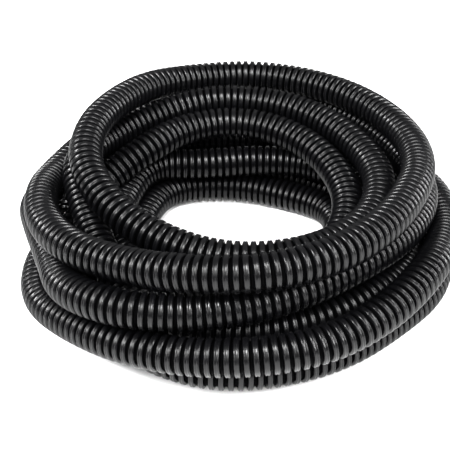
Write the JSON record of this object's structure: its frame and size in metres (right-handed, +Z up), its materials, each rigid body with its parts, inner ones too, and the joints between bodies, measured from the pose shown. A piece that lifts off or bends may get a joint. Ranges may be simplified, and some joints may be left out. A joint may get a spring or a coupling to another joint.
{
  "type": "vacuum hose",
  "caption": "Corrugated pool vacuum hose laid in a loose pile of turns, with a glued cuff on one end and a swivel cuff on the other.",
  "frame": {"origin": "on the floor, at the middle of the object's footprint", "axes": "+Z up; +Y away from the camera; the swivel cuff's mouth points along -X"},
  "size_m": [0.521, 0.595, 0.1633],
  "materials": {
    "hose": "glossy black, ribbed",
    "cuff": "satin black",
    "sleeve": "satin black",
    "seal": "matt black",
    "snap": "stainless"
  },
  "bodies": {
    "root": {"hose_coil": "hose", "hose_inner_end": "hose", "hose_outer_end": "hose", "fixed_cuff": "cuff", "swivel_sleeve": "sleeve", "swivel_seal": "seal"},
    "swivel": {"swivel_cuff": "cuff", "snap_ring": "snap"}
  },
  "joints": [
    {"name": "cuff_swivel", "type": "hinge", "parent": "root", "child": "swivel", "pos_m": [-0.0351, 0.2725, 0.0252], "axis": [-1, 0, 0], "continuous": true}
  ]
}
